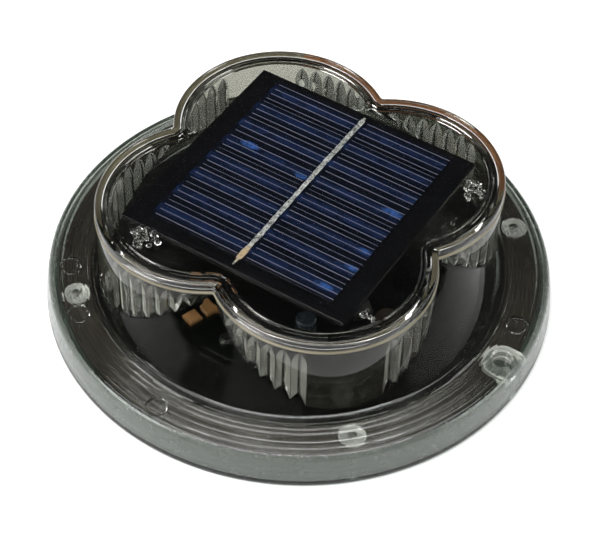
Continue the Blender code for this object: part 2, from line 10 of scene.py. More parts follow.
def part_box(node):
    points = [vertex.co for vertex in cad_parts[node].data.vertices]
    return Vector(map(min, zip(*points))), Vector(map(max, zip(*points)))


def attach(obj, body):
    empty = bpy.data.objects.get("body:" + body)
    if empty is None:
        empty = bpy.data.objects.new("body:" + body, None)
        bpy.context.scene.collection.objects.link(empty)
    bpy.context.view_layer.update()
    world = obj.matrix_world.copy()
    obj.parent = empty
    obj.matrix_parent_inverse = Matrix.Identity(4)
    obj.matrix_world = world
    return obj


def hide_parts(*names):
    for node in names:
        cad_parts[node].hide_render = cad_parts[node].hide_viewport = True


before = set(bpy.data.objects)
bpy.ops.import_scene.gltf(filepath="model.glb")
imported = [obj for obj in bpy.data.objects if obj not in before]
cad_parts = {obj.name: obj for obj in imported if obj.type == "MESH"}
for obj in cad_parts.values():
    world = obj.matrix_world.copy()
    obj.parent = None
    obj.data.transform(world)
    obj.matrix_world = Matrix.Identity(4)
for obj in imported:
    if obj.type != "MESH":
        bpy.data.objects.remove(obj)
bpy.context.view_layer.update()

MM = 0.001
LOBES = 4
LIGHT = "light_body"


def box_mm(node):
    low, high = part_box(node)
    return Vector(low) / MM, Vector(high) / MM


def centre_mm(node):
    low, high = box_mm(node)
    return (low + high) / 2


# ------------------------------------------------------------ sizes, in millimetres

SHELL_LOW, SHELL_HIGH = box_mm("top_shell")
LID_HIGH = box_mm("dome_lid")[1]
SEAL_LOW, SEAL_HIGH = box_mm("lid_seal")
BASE_HIGH = box_mm("bottom_shell")[1]
PANEL_LOW, PANEL_HIGH = box_mm("solar_panel_board")
CELL_LOW, CELL_HIGH = box_mm("solar_cell")
RIBBON_LOW, RIBBON_HIGH = box_mm("busbar_ribbon")
DECK_LOW, DECK_HIGH = box_mm("deck_plate")

HULL_R = BASE_HIGH.x
SKIRT_R = SHELL_HIGH.x
FLANGE_EDGE_R = 81.5
FLANGE_Z = 12.2
FLANGE_ROUND = 2.5
FLANGE_UNDER_Z = 10.0
SKIRT_IN_R = 79.8
RIM_Z = 40.2
WALL = 2.2
LOBE_C = 30.0
LOBE_R = LID_HIGH.x - LOBE_C
NOTCH_ROUND = 1.2
SHOULDER = [(65.6, 12.2), (62.0, 18.8), (58.0, 26.3), (54.0, 33.2), (49.6, 39.5), (48.9, 40.4)]
RIDGE_H = 0.6

RIB_FIRST = 20.5                # degrees from the lobe's middle
RIB_PITCH = 8.35
RIB_COUNT = 7
RIB_DEPTH = 2.0
RIB_SHARE = 0.97                # part of the pitch that a rib takes
RIB_STOPS = (0.0, 0.015, 0.06, 0.13, 0.22, 0.31, 0.39, 0.45, 0.5, 0.55, 0.61, 0.69, 0.78, 0.87,
             0.94, 0.985)
CREST_SHARE = 0.34              # middle part of a rib that is polished clear

LIP_R = 31.0
LID_T = 1.7
LID_ROUND = 1.3
LIP_H = 1.4

SCREWS = [centre_mm(f"shell_screw_{i}") for i in (1, 2, 3, 4)]
TETHER_R = 75.5
TETHER_ANGLE = -46.0
TETHER_HOLE_R = 3.1
TETHER_TUBE_R = 4.8
TETHER_PAD_R = 6.4
TETHER_SLOT_R = 7.0

# middle radius, half width and height of each low ring on the flange
RIPPLES = ((77.3, 0.8, 0.26), (74.9, 0.55, 0.16), (71.8, 0.8, 0.28), (70.1, 0.6, 0.22))
POST_LOW_Z = 5.6
PAD_LOW_Z = 7.7
# radius and degrees of the ejector pin marks on the flange
PIN_MARKS = ((74.0, 171.4), (74.0, -172.4), (74.0, -34.7), (75.9, -137.2))
PIN_GROOVE = [(3.1, 11.6), (3.6, 11.6), (3.8, 12.7), (2.95, 12.7)]

DECK_TOP_Z = 9.2
DECK_RINGS = (76.2, 74.2, 71.2, 68.2)
DECK_ZONE_R = 66.0              # outside this the deck is rougher and a lighter brown; the lighter brown is painted light
STAND_XY = 30.0                 # the circuit board's stand-offs
STAND_TOP_Z = 10.3
WIRE_HOLE_R = 3.4
WIRE_HOLE_X = 13.2
COPPERY_SPAN = (-12, 76)        # degrees over which the sealant is browner


# ------------------------------------------------------------ mesh helpers

def apply_modifiers(obj):
    """Swaps the object's mesh for its evaluated one and drops the modifiers."""
    bpy.context.view_layer.update()
    graph = bpy.context.evaluated_depsgraph_get()
    mesh = bpy.data.meshes.new_from_object(obj.evaluated_get(graph))
    obj.modifiers.clear()
    obj.data = mesh
    return obj


def new_object(name, verts_mm, faces):
    mesh = bpy.data.meshes.new(name)
    mesh.from_pydata([tuple(c * MM for c in v) for v in verts_mm], [], faces)
    bm = bmesh.new()
    bm.from_mesh(mesh)
    bmesh.ops.recalc_face_normals(bm, faces=bm.faces)
    bm.to_mesh(mesh)
    bm.free()
    obj = bpy.data.objects.new(name, mesh)
    bpy.context.scene.collection.objects.link(obj)
    return obj


def set_materials(obj, mats):
    """Fills the material slots; faces keep their slot numbers when there are several."""
    faces = obj.data.polygons
    numbers = [0] * len(faces)
    if len(mats) > 1:
        faces.foreach_get("material_index", numbers)
    obj.data.materials.clear()
    for mat in mats:
        obj.data.materials.append(mat)
    faces.foreach_set("material_index", numbers)


def finish_piece(obj, mat, replaces=(), body=LIGHT, smooth=32.0):
    set_materials(obj, [mat] if isinstance(mat, bpy.types.Material) else mat)
    obj.data.shade_smooth()
    obj.data.set_sharp_from_angle(angle=math.radians(smooth))
    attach(obj, body)
    if replaces:
        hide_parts(*replaces)
    return obj


def grid_faces(rows, count, wrap_rows):
    """Quads between rings of equal length; the rings can close into a tube."""
    faces = []
    last = rows if wrap_rows else rows - 1
    for r in range(last):
        low, high = r * count, ((r + 1) % rows) * count
        for i in range(count):
            j = (i + 1) % count
            faces.append((low + i, low + j, high + j, high + i))
    return faces


def ring_solid(name, rings):
    """A closed tube-like solid through rings of equal length."""
    verts = [v for ring in rings for v in ring]
    return new_object(name, verts, grid_faces(len(rings), len(rings[0]), True))


def capped_solid(name, rings):
    """Rings skinned in order, with a fan to a centre point at both ends."""
    count = len(rings[0])
    verts = [v for ring in rings for v in ring]
    faces = grid_faces(len(rings), count, False)
    for ring, start in ((rings[0], 0), (rings[-1], (len(rings) - 1) * count)):
        middle = len(verts)
        verts.append(tuple(sum(v[k] for v in ring) / count for k in range(3)))
        for i in range(count):
            faces.append((start + i, start + (i + 1) % count, middle))
    return new_object(name, verts, faces)


def circle(radius, z, steps, x=0.0, y=0.0):
    return [(x + radius * math.cos(2 * math.pi * i / steps),
             y + radius * math.sin(2 * math.pi * i / steps), z) for i in range(steps)]


def turned(name, profile, steps, x=0.0, y=0.0):
    return capped_solid(name, [circle(r, z, steps, x, y) for r, z in profile])


def turned_ring(name, profile, steps, x=0.0, y=0.0):
    return ring_solid(name, [circle(r, z, steps, x, y) for r, z in profile])


def combine(obj, others, operation):
    """Joins or cuts obj with each of the others, which are then removed."""
    for other in others:
        mod = obj.modifiers.new("combine", "BOOLEAN")
        mod.operation = operation
        mod.solver = "EXACT"
        mod.object = other
        apply_modifiers(obj)
        bpy.data.objects.remove(other)
    return obj


def polar(radius, degrees):
    angle = math.radians(degrees)
    return radius * math.cos(angle), radius * math.sin(angle)


def corner(radius, z, size, steps=5):
    """(radius, z) points of a quarter round up to a flat top."""
    points = []
    for i in range(steps + 1):
        angle = math.pi / 2 * i / steps
        points.append((radius - size + size * math.cos(angle), z - size + size * math.sin(angle)))
    return points


# ------------------------------------------------------------ the four-lobed outline

def on_lobe(lobe, degrees):
    """(lobe centre, outward direction) at an angle round one lobe."""
    turn = Matrix.Rotation(2 * math.pi * lobe / LOBES, 2)
    return turn @ Vector((LOBE_C, 0)), turn @ Vector(polar(1.0, degrees))


def lobe_columns(lobe, plain_steps, stops, notch_steps=8):
    """One lobe's columns as (point on the outer wall, inward direction, lobe, angle or None)."""
    half = LOBE_C * math.sin(math.pi / LOBES)
    reach = LOBE_C * math.cos(math.pi / LOBES) + math.sqrt((LOBE_R + NOTCH_ROUND) ** 2 - half ** 2)
    notch = Vector(polar(reach, 180 / LOBES))
    limit = math.degrees(math.atan2(notch.y, notch.x - LOBE_C))
    last = RIB_FIRST + RIB_COUNT * RIB_PITCH
    per_rib = [RIB_FIRST + RIB_PITCH * (i + stop) for i in range(RIB_COUNT) for stop in stops]
    per_rib.append(last)
    middle = [RIB_FIRST * (2 * i / plain_steps - 1) for i in range(1, plain_steps)]
    ends = [last + (limit - last) * i / 3 for i in (1, 2)]
    angles = [-limit] + [-a for a in reversed(ends)] + [-a for a in reversed(per_rib)]
    angles += middle + per_rib + ends + [limit]
    columns = []
    for a in angles:
        centre, out = on_lobe(lobe, a)
        columns.append((centre + out * LOBE_R, -out, lobe, a))
    sweep = 2 * limit - 90
    turn = Matrix.Rotation(2 * math.pi * lobe / LOBES, 2)
    for i in range(1, notch_steps):
        v = Vector(polar(1.0, limit + 180 - sweep * i / notch_steps))
        columns.append((turn @ (notch + v * NOTCH_ROUND), turn @ v, lobe, None))
    return columns


def all_columns(plain_steps, stops):
    return [c for lobe in range(LOBES) for c in lobe_columns(lobe, plain_steps, stops)]


def clover_ring(columns, inset, z):
    return [(*(p + d * inset), z) for p, d, *_ in columns]


def smooth_profile(points, per_span=8):
    """A dense, smooth curve through (radius, z) points."""
    knots = [Vector(points[0])] + [Vector(p) for p in points] + [Vector(points[-1])]
    path = []
    for i in range(1, len(knots) - 2):
        p0, p1, p2, p3 = knots[i - 1:i + 3]
        for k in range(per_span):
            t = k / per_span
            path.append(0.5 * (2 * p1 + (p2 - p0) * t + (2 * p0 - 5 * p1 + 4 * p2 - p3) * t ** 2
                               + (3 * p1 - p0 - 3 * p2 + p3) * t ** 3))
    path.append(knots[-2])
    return path


def offset_inward(path, distance):
    moved = []
    for i, p in enumerate(path):
        along = path[min(i + 1, len(path) - 1)] - path[max(i - 1, 0)]
        along.normalize()
        moved.append(Vector((p.x - distance * along.y, p.y + distance * along.x)))
    return moved


def height_at(path):
    """A function that gives the shoulder's height at a radius."""
    radii = np.array([p.x for p in path])[::-1]
    heights = np.array([p.y for p in path])[::-1]
    return lambda r: float(np.interp(r, radii, heights))


def rib_at(angle):
    """(rib's number, its middle angle, place across it from -1 to 1), or None between ribs."""
    if angle is None:
        return None
    t = (abs(angle) - RIB_FIRST) / RIB_PITCH
    if not 0 <= t < RIB_COUNT:
        return None
    number = math.floor(t + 1e-6)
    across = (2 * (t - number) - 1) / RIB_SHARE
    if abs(across) > 1.001:
        return None
    middle = math.copysign(RIB_FIRST + (number + 0.5) * RIB_PITCH, angle)
    return math.copysign(number + 1, angle), middle, max(-1.0, min(1.0, across))


def wall_point(column, width):
    """A column's point on the inner wall where its rib has the given share of its width."""
    p, inward, lobe, angle = column
    rib = rib_at(angle)
    if rib is None:
        return p + inward * WALL
    _, middle, across = rib
    centre, out = on_lobe(lobe, middle + (angle - middle) * width)
    side = abs(across)
    height = RIB_DEPTH * (1 - side ** 1.35) * min(1.0, width * 1.2)
    return centre + out * (LOBE_R - WALL - height)


# ------------------------------------------------------------ clear shells

CLEAR_BAND, MILKY_BAND, FROST_BAND, POST_LIGHT_BAND, SHOULDER_BAND, WALL_BAND, OUTER_BAND = range(7)
# height of a row and the share of a rib's width there; the lower rows count up from the foot
UPPER_ROWS = ((RIM_Z, 0.04), (39.2, 0.04), (38.5, 0.04), (38.35, 0.12), (38.0, 0.28), (37.5, 0.45),
              (36.8, 0.62), (35.9, 0.78), (34.8, 0.91), (33.4, 1.0))
LOWER_ROWS = ((4.0, 1.0), (2.0, 1.0), (0.8, 1.0))


def wall_rings(columns, inner_z):
    """Rings down the inner wall; each rib starts as a pointed arch below the rim."""
    lows = [inner_z(wall_point(c, 1.0).length) for c in columns]
    heights = [RIM_Z + 1.0] * len(columns)
    rings = []
    total = len(UPPER_ROWS) + len(LOWER_ROWS)
    for n, (row_z, width) in enumerate(UPPER_ROWS + LOWER_ROWS):
        ring = []
        for i, column in enumerate(columns):
            low = lows[i]
            z = row_z if n < len(UPPER_ROWS) else low + row_z
            z = max(min(z, heights[i] - 0.03), low + 0.05 * (total - n))
            heights[i] = z
            at = wall_point(column, width)
            ring.append((at.x, at.y, z))
        rings.append(ring)
    return rings


def flange_ripples():
    """(radius, z) points of the low rounded rings moulded round the flange's top."""
    points = [(78.6, FLANGE_Z)]
    for middle, half, height in RIPPLES:
        for i in range(11):
            t = 1 - i / 5
            points.append((middle + half * t, FLANGE_Z + height * (1 + math.cos(math.pi * t)) / 2))
    return points


def top_shell_rings():
    """The top shell's rings, and for each the look of the band that starts there."""
    columns = all_columns(16, RIB_STOPS)
    outer_path = smooth_profile(SHOULDER)
    inner_path = offset_inward(outer_path, WALL)
    inner_path.insert(0, Vector((inner_path[0].x + 0.9, FLANGE_UNDER_Z)))
    outer_z, inner_z = height_at(outer_path), height_at(inner_path)
    outer_pts = [c[0] for c in columns]
    thetas = [math.atan2(p.y, p.x) for p in outer_pts]

    def ring_at(radius, z):
        return [(radius * math.cos(t), radius * math.sin(t), z) for t in thetas]

    rings = [ring_at(r, z) for r, z in (
        (SKIRT_R - 0.4, SHELL_LOW.z), (SKIRT_R - 0.02, SHELL_LOW.z + 0.35), (82.1, 6.5))]
    rings += [ring_at(r, z) for r, z in corner(FLANGE_EDGE_R, FLANGE_Z, FLANGE_ROUND, 7)]
    bands = [MILKY_BAND] * (len(rings) - 3)
    ridge_z = FLANGE_Z + RIDGE_H
    rings += [ring_at(r, z) for r, z in flange_ripples()]
    rings += [ring_at(r, z) for r, z in (
        (69.1, FLANGE_Z), (68.95, FLANGE_Z), (68.8, FLANGE_Z + 0.15),
        (68.7, ridge_z - 0.12), (68.5, ridge_z), (67.3, ridge_z), (67.1, ridge_z - 0.12),
        (67.0, FLANGE_Z + 0.15), (66.85, FLANGE_Z), (66.4, FLANGE_Z), (65.9, FLANGE_Z + 0.1))]

    bands += [CLEAR_BAND] * (len(rings) - len(bands))

    steps = 14
    base_r = 65.4
    for k in range(steps + 1):
        ring = []
        for p, t in zip(outer_pts, thetas):
            r = base_r + (min(p.length, base_r - 0.2) - base_r) * k / steps
            ring.append((r * math.cos(t), r * math.sin(t), outer_z(r)))
        rings.append(ring)
    bands += [SHOULDER_BAND] * (len(rings) - len(bands))
    creases = [outer_z(min(p.length, base_r - 0.2)) for p in outer_pts]
    for share in (0.04, 0.5, 0.96):
        rings.append([(p.x, p.y, z + (RIM_Z - z) * share) for p, z in zip(outer_pts, creases)])
    rings.append([(*(p + d * 0.12), RIM_Z) for p, d, *_ in columns])

    bands += [OUTER_BAND] * (len(rings) - len(bands))
    rings += wall_rings(columns, inner_z)
    bands += [FROST_BAND] * (len(rings) - len(bands))

    inner_steps = 10
    foot_r = inner_path[0].x
    for k in range(inner_steps + 1):
        ring = []
        for column in columns:
            at = wall_point(column, 1.0)
            r0, t = at.length, math.atan2(at.y, at.x)
            r = r0 + (foot_r - r0) * k / inner_steps
            ring.append((r * math.cos(t), r * math.sin(t), inner_z(r)))
        rings.append(ring)
    bands += [SHOULDER_BAND] * (len(rings) - len(bands))
    rings += [ring_at(r, z) for r, z in ((66.0, FLANGE_UNDER_Z), (78.6, FLANGE_UNDER_Z))]
    bands += [CLEAR_BAND] * (len(rings) - len(bands))
    rings += [ring_at(r, z) for r, z in (
        (79.2, FLANGE_UNDER_Z - 0.1), (79.65, FLANGE_UNDER_Z - 0.45),
        (SKIRT_IN_R, FLANGE_UNDER_Z - 1.0), (SKIRT_IN_R, SHELL_LOW.z + 0.3),
        (SKIRT_IN_R + 0.25, SHELL_LOW.z))]
    bands += [MILKY_BAND] * (len(rings) - len(bands))
    return rings, bands, [rib_at(c[3]) for c in columns]


def paint_bands(shell, bands, ribs):
    """Numbers each face's slot by its band; in the ribbed wall only the rib flanks are frosted."""
    count = len(ribs)
    slots = []
    for band in bands:
        for i in range(count):
            slot = band
            if band == FROST_BAND:
                a, b = ribs[i], ribs[(i + 1) % count]
                same = a and b and a[0] == b[0]
                slot = FROST_BAND if same and abs(a[2] + b[2]) > CREST_SHARE else WALL_BAND
            slots.append(slot)
    shell.data.polygons.foreach_set("material_index", slots)


def tether_block(radius, z0, z1, reach):
    """A D-shaped block at the tether: round on its inner side and straight out to the rim."""
    turn = Matrix.Rotation(math.radians(TETHER_ANGLE), 2)
    arc = [polar(radius, 90 + 180 * i / 28) for i in range(29)]
    flat = [Vector((TETHER_R + x, y)) for x, y in arc] + [Vector((reach, -radius)),
                                                          Vector((reach, radius))]
    return capped_solid("tether_block", [[(*(turn @ p), z) for p in flat] for z in (z0, z1)])


def top_shell(mats):
    rings, bands, ribs = top_shell_rings()
    shell = ring_solid("top_shell_clear", rings)
    set_materials(shell, mats)
    paint_bands(shell, bands, ribs)
    posts = [turned("post", [(3.55, POST_LOW_Z), (3.9, POST_LOW_Z + 0.35), (3.9, 9.6),
                             (4.3, 10.0), (4.3, 10.6)], 40, s.x, s.y) for s in SCREWS]
    tx, ty = polar(TETHER_R, TETHER_ANGLE)
    posts.append(turned("tube", [(4.5, 2.3), (TETHER_TUBE_R, 2.6), (TETHER_TUBE_R, 10.7)],
                        48, tx, ty))
    posts.append(tether_block(TETHER_PAD_R, PAD_LOW_Z, 10.8, SKIRT_IN_R + 0.8))
    for post in posts:
        set_materials(post, mats)
        # the posts and tether block take the finish whose pale tint is painted light
        post.data.polygons.foreach_set("material_index", [POST_LIGHT_BAND] * len(post.data.polygons))
    combine(shell, posts, "UNION")
    cuts = [turned("pilot", [(1.5, 4.0), (1.5, 10.3), (0.4, 10.9)], 28, s.x, s.y) for s in SCREWS]
    cuts.append(turned("hole", [(TETHER_HOLE_R, 1.0), (TETHER_HOLE_R, 11.7),
                                (TETHER_HOLE_R + 0.6, 12.3), (TETHER_HOLE_R + 0.6, 14.0)],
                       48, tx, ty))
    cuts += [turned_ring("pin", PIN_GROOVE, 48, *polar(*mark)) for mark in PIN_MARKS]
    for cut in cuts:
        set_materials(cut, mats)
    combine(shell, cuts, "DIFFERENCE")
    return finish_piece(shell, mats, ["top_shell"], smooth=28)


def scaled_ring(ring, share):
    return [(x * share, y * share, z) for x, y, z in ring]


def dome_lid(mats):
    columns = all_columns(24, (0.0, 0.5))
    under = LID_HIGH.z - LID_T
    low = under - LIP_H
    side_low = SEAL_HIGH.z + 0.3
    top = LID_HIGH.z
    edge = [(LOBE_R - r, z) for r, z in corner(LOBE_R, top, LID_ROUND, 7)]
    rings = [clover_ring(columns, s, z) for s, z in reversed(edge)]
    flat = clover_ring(columns, LID_ROUND + 0.35, top)
    rings = [scaled_ring(flat, 0.3), scaled_ring(flat, 0.7), flat] + rings
    rings += [clover_ring(columns, s, z) for s, z in (
        (0.0, side_low + 0.3), (0.3, side_low), (1.9, side_low), (WALL, side_low + 0.3),
        (WALL, under - 0.35), (WALL + 0.35, under), (LOBE_R - LIP_R - 0.3, under),
        (LOBE_R - LIP_R, under - 0.3), (LOBE_R - LIP_R, low + 0.25), (LOBE_R - LIP_R + 0.25, low),
        (LOBE_R - LIP_R + 0.95, low), (LOBE_R - LIP_R + 1.2, low + 0.25),
        (LOBE_R - LIP_R + 1.2, under - 0.3), (LOBE_R - LIP_R + 1.5, under),
        (LOBE_R - LIP_R + 1.9, under))]
    inside = rings[-1]
    rings += [scaled_ring(inside, 0.7), scaled_ring(inside, 0.3)]
    lid = capped_solid("dome_lid_clear", rings)
    set_materials(lid, mats)
    count = len(columns)
    # the rim band's faces take the second finish, whose darker tint is painted shade
    rim_rows = range(2, len(rings) - 3)
    slots = [int(row in rim_rows) for row in range(len(rings) - 1) for _ in range(count)]
    lid.data.polygons.foreach_set("material_index", slots + [0] * (2 * count))
    return finish_piece(lid, mats, ["dome_lid"], smooth=28)


def lid_seal(mats):
    """The bead of sealant under the lid, browner along parts of two lobes."""
    columns = all_columns(24, (0.0, 0.5))
    z0, z1 = SEAL_LOW.z, SEAL_HIGH.z
    out, inn = LOBE_R - SEAL_HIGH.x + LOBE_C, 1.9
    section = [(out + 0.2, z0), (out + 0.03, z0 + 0.12), (out, (z0 + z1) / 2),
               (out + 0.03, z1 - 0.12), (out + 0.2, z1), (inn - 0.2, z1), (inn, z1 - 0.2),
               (inn, z0 + 0.2), (inn - 0.2, z0)]
    seal = ring_solid("lid_seal_bead", [clover_ring(columns, s, z) for s, z in section])
    set_materials(seal, mats)
    turns = [math.degrees(math.atan2(f.center.y, f.center.x)) for f in seal.data.polygons]
    first, last = COPPERY_SPAN
    seal.data.polygons.foreach_set("material_index", [int(first < t < last) for t in turns])
    return finish_piece(seal, mats, ["lid_seal"], smooth=50)


def bottom_shell(mat):
    steps = 240
    profile = [(30.0, 0.0), (HULL_R - 2.4, 0.0), (HULL_R - 0.7, 0.12), (HULL_R - 0.15, 0.5),
               (HULL_R, 0.95), (HULL_R, 2.2), (HULL_R - 0.12, 2.55), (HULL_R - 0.4, 2.7),
               (78.5, 2.7), (78.5, 6.8), (78.2, 7.1), (77.5, 7.1), (77.2, 6.8), (77.2, 2.3),
               (76.9, 2.0), (30.0, 2.0)]
    shell = turned("bottom_shell_clear", profile, steps)
    pads = [turned("pad", [(4.4, 1.0), (4.4, 5.05), (4.15, 5.3)], 40, s.x, s.y) for s in SCREWS]
    combine(shell, pads, "UNION")
    cuts = [turned("bore", [(3.1, -1.0), (3.1, 3.0), (1.5, 3.05), (1.5, 6.5)], 36, s.x, s.y)
            for s in SCREWS]
    tx, ty = polar(TETHER_R, TETHER_ANGLE)
    clear = TETHER_TUBE_R + 0.3
    cuts.append(turned("tether", [(TETHER_HOLE_R, -1.0), (TETHER_HOLE_R, 2.0), (clear, 2.01),
                                  (clear, 8.0)], 48, tx, ty))
    cuts.append(turned("button", [(6.2, -1.0), (6.2, 3.0)], 64))
    combine(shell, cuts, "DIFFERENCE")
    return finish_piece(shell, mat, ["bottom_shell"], smooth=28)


# ------------------------------------------------------------ the solar panel

DIAGONAL = math.radians(45)


def on_panel(along, across, z):
    """A point by its place along the ribbon and across it."""
    c, s = math.cos(DIAGONAL), math.sin(DIAGONAL)
    return along * c + across * s, along * s - across * c, z


def slab(name, middle, along, across, z0, z1, edge):
    """A panel-aligned slab with rounded edges, about a middle given in x and y."""
    def ring(inset, z):
        a, b = along / 2 - inset, across / 2 - inset
        pts = []
        for sa, sb in ((1, 1), (-1, 1), (-1, -1), (1, -1)):
            for i in range(5):
                base = {(1, 1): 0, (-1, 1): 90, (-1, -1): 180, (1, -1): 270}[(sa, sb)]
                t = math.radians(base + 90 * i / 4)
                x, y, _ = on_panel(sa * (a - edge) + edge * math.cos(t),
                                   sb * (b - edge) + edge * math.sin(t), z)
                pts.append((middle.x + x, middle.y + y, z))
        return pts
    soft = min(edge, (z1 - z0) * 0.3)
    rings = [ring(soft, z0), ring(0.0, z0 + soft), ring(0.0, z1 - soft),
             ring(soft * 0.4, z1 - soft * 0.3), ring(soft, z1), ring(soft + 0.4, z1)]
    return capped_solid(name, rings)


def panel_board(mat):
    side = (PANEL_HIGH.x - PANEL_LOW.x) / math.sqrt(2)
    middle = centre_mm("solar_panel_board")
    board = slab("solar_panel_slab", middle, side, side, PANEL_LOW.z, PANEL_HIGH.z, 0.35)
    return finish_piece(board, mat, ["solar_panel_board"])


def solar_cell(mat):
    middle = centre_mm("solar_cell")
    cell = slab("solar_cell_wafer", middle, CELL_L, CELL_W, CELL_LOW.z, CELL_HIGH.z, 0.15)
    return finish_piece(cell, mat, ["solar_cell"])


CELL_L = 73.0                   # along the ribbon
CELL_W = 66.0
LINE_STEP = 2.5
# where each group of printed lines starts along the ribbon, and how many it has
LINE_GROUPS = [(-33.35, 3), (-23.9, 3), (-14.3, 3), (-5.3, 3), (3.5, 3), (11.3, 4), (20.8, 3),
               (29.5, 4)]
FAINT_LINES = (-26.2, -16.7, -7.4, 1.6, 27.7)
LINE_HALF_W = 0.15
FAINT_HALF_W = 0.07
GROUP_PITCH = 9.1               # of the bluer bands in the cell
GROUP_MIDDLE = -2.8


def finger_places():
    """The place of each printed line along the ribbon, and half its width."""
    strong = [(start + i * LINE_STEP, LINE_HALF_W)
              for start, count in LINE_GROUPS for i in range(count)]
    return strong + [(place, FAINT_HALF_W) for place in FAINT_LINES]


def cell_fingers(mat):
    """Printed silver lines, each a thin raised strip that stops short of the ribbon."""
    random.seed(4)
    z0 = CELL_HIGH.z
    verts, faces = [], []
    for place, half_width in finger_places():
        for side in (1, -1):
            start, end = 1.4 + random.uniform(0.0, 0.4), 32.4 - random.uniform(0.0, 0.25)
            half = half_width + random.uniform(-0.015, 0.02)
            pieces = 12
            base = len(verts)
            for i in range(pieces + 1):
                across = side * (start + (end - start) * i / pieces)
                wave = half + random.uniform(-0.02, 0.02)
                for da, z in ((-wave, z0 + 0.002), (-wave * 0.6, z0 + 0.035),
                              (wave * 0.6, z0 + 0.035), (wave, z0 + 0.002)):
                    verts.append(on_panel(place + da, across, z))
            for i in range(pieces):
                a, b = base + 4 * i, base + 4 * (i + 1)
                for k in range(4):
                    m = (k + 1) % 4
                    faces.append((a + k, a + m, b + m, b + k))
            end_base = base + 4 * pieces
            faces.append((base, base + 1, base + 2, base + 3))
            faces.append((end_base, end_base + 1, end_base + 2, end_base + 3))
    lines = new_object("cell_grid_lines", verts, faces)
    return finish_piece(lines, mat)


def ribbon(mat):
    """The tinned ribbon: hand-soldered, so it wanders, puckers and splays near one end."""
    random.seed(11)
    steps, cross = 240, 12
    z0 = RIBBON_LOW.z - 0.13
    half_l, middle_l, middle_w = 38.4, 0.3, -0.35
    wobble = [random.uniform(-1, 1) for _ in range(64)]

    def rough(t, n):
        x = t * n
        i = int(math.floor(x)) % 63
        f = x - math.floor(x)
        f = f * f * (3 - 2 * f)
        return wobble[i] * (1 - f) + wobble[i + 1] * f

    rings = []
    for k in range(steps + 1):
        t = k / steps
        along = middle_l + half_l * (2 * t - 1)
        drift = middle_w + 0.14 * rough(t, 9)
        half = 0.80 + 0.07 * rough(t, 47) + 0.05 * rough(t + 0.37, 29)
        splay = min(1.0, max(0.0, 1.6 - abs(t - 0.07) / 0.025))
        half += 0.2 * splay * (1 + 0.5 * rough(t, 61))
        if t < 0.035:
            half *= 0.32 + 0.2 * t / 0.035
        elif t > 0.985:
            half *= 0.55
        lift = 0.12 + 0.08 * rough(t, 53)
        ring = []
        for i in range(cross):
            a = 2 * math.pi * i / cross
            pucker = 0.1 * rough(t + 0.13 * i, 61)
            z = z0 + lift + 0.1 * math.sin(a) + pucker
            z = min(max(z, z0 - 0.04), RIBBON_HIGH.z + 0.12)
            ring.append(on_panel(along, drift + half * math.cos(a), z))
        rings.append(ring)
    strip = capped_solid("busbar_ribbon_soldered", rings)
    return finish_piece(strip, mat, ["busbar_ribbon"], smooth=22)


# ------------------------------------------------------------ glue, deck and screws

def glue_bead(node, mat, seed, lumps):
    """A cluster of set glue drops, squeezed between the panel and the lid."""
    random.seed(seed)
    low, high = box_mm(node)
    middle, size = (low + high) / 2, high - low
    bm = bmesh.new()
    for _ in range(lumps):
        r = random.uniform(0.6, 1.25)
        x = middle.x + random.uniform(-0.42, 0.42) * size.x
        y = middle.y + random.uniform(-0.42, 0.42) * size.y
        z = middle.z + random.uniform(-0.3, 0.2)
        place = Matrix.Translation((x, y, z)) @ Matrix.Diagonal(
            (r * random.uniform(0.7, 1.3), r * random.uniform(0.7, 1.3), min(r, 0.75), 1.0))
        bmesh.ops.create_icosphere(bm, subdivisions=3, radius=1.0, matrix=place)
    bmesh.ops.scale(bm, vec=(MM, MM, MM), verts=bm.verts)
    mesh = bpy.data.meshes.new(node + "_drops")
    bm.to_mesh(mesh)
    bm.free()
    obj = bpy.data.objects.new(node + "_drops", mesh)
    bpy.context.scene.collection.objects.link(obj)
    mod = obj.modifiers.new("join", "REMESH")
    mod.mode = "VOXEL"
    mod.voxel_size = 0.16 * MM
    apply_modifiers(obj)
    return finish_piece(obj, mat, [node], smooth=80)


def deck_plate(mats):
    """The black disc with low rings round its rim and the cut-outs for posts and tether."""
    z0, z1 = DECK_LOW.z, DECK_TOP_Z
    r = DECK_HIGH.x
    profile = [(30.0, z0), (r - 0.3, z0), (r, z0 + 0.3), (r, z1 - 0.25), (r - 0.25, z1)]
    for ring_r in DECK_RINGS:
        profile += [(ring_r + 0.5, z1), (ring_r + 0.3, z1 + 0.28), (ring_r - 0.3, z1 + 0.28),
                    (ring_r - 0.5, z1)]
    profile += [(30.0, z1)]
    deck = turned("deck_disc", profile, 240)
    spots = [(sx * STAND_XY, sy * STAND_XY) for sx in (1, -1) for sy in (1, -1)]
    stands = [turned("stand", [(3.0, z1 - 1), (3.0, STAND_TOP_Z)], 28, x, y) for x, y in spots]
    combine(deck, stands, "UNION")
    cuts = [turned("cut", [(4.3, z0 - 1), (4.3, z1 + 1)], 36, s.x, s.y) for s in SCREWS]
    cuts.append(tether_block(TETHER_SLOT_R, z0 - 1, z1 + 1, HULL_R + 1))
    cuts += [turned("cut", [(1.1, z0 + 0.7), (1.1, 11.6)], 20, x, y) for x, y in spots]
    cuts.append(turned("cut", [(WIRE_HOLE_R, z0 - 1), (WIRE_HOLE_R, z1 + 1)], 32, WIRE_HOLE_X, 0.0))
    combine(deck, cuts, "DIFFERENCE")
    set_materials(deck, mats)
    # faces outside the inner zone take the rougher finish whose lighter brown is painted light
    outer = [int(f.center.xy.length > DECK_ZONE_R * MM) for f in deck.data.polygons]
    deck.data.polygons.foreach_set("material_index", outer)
    return finish_piece(deck, mats, ["deck_plate"])


